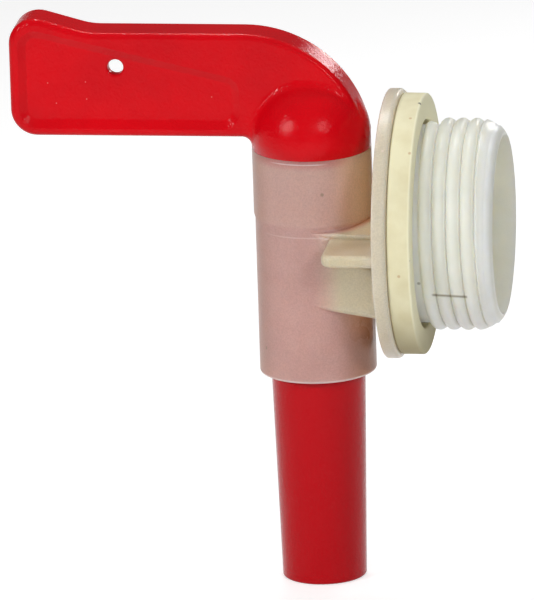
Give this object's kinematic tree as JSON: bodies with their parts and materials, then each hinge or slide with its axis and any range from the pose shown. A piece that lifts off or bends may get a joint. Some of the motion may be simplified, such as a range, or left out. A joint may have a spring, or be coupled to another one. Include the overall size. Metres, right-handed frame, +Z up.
{
  "type": "canister plug tap",
  "caption": "Canister tap: a hollow red tapered plug with a lever and spout turns in a pale barrel, fed through a flanged threaded spigot with a sealing ring.",
  "frame": {"origin": "on the inlet axis, in the gasket's face that meets the canister", "axes": "+X along the inlet into the canister, +Z up along the barrel, -Y towards the viewer"},
  "size_m": [0.139, 0.0764, 0.1641],
  "materials": {
    "body": "milky translucent polyethylene, satin",
    "gasket": "soft cream foam",
    "plug": "red polyethylene with a fine moulded grain"
  },
  "bodies": {
    "body": {"valve_body": "body", "gasket": "gasket"},
    "plug": {"plug": "plug"}
  },
  "joints": [
    {"name": "plug_turn", "type": "hinge", "parent": "body", "child": "plug", "pos_m": [-0.0323, 0, 0], "axis": [0, 0, 1], "range_deg": [-90, 90]}
  ]
}
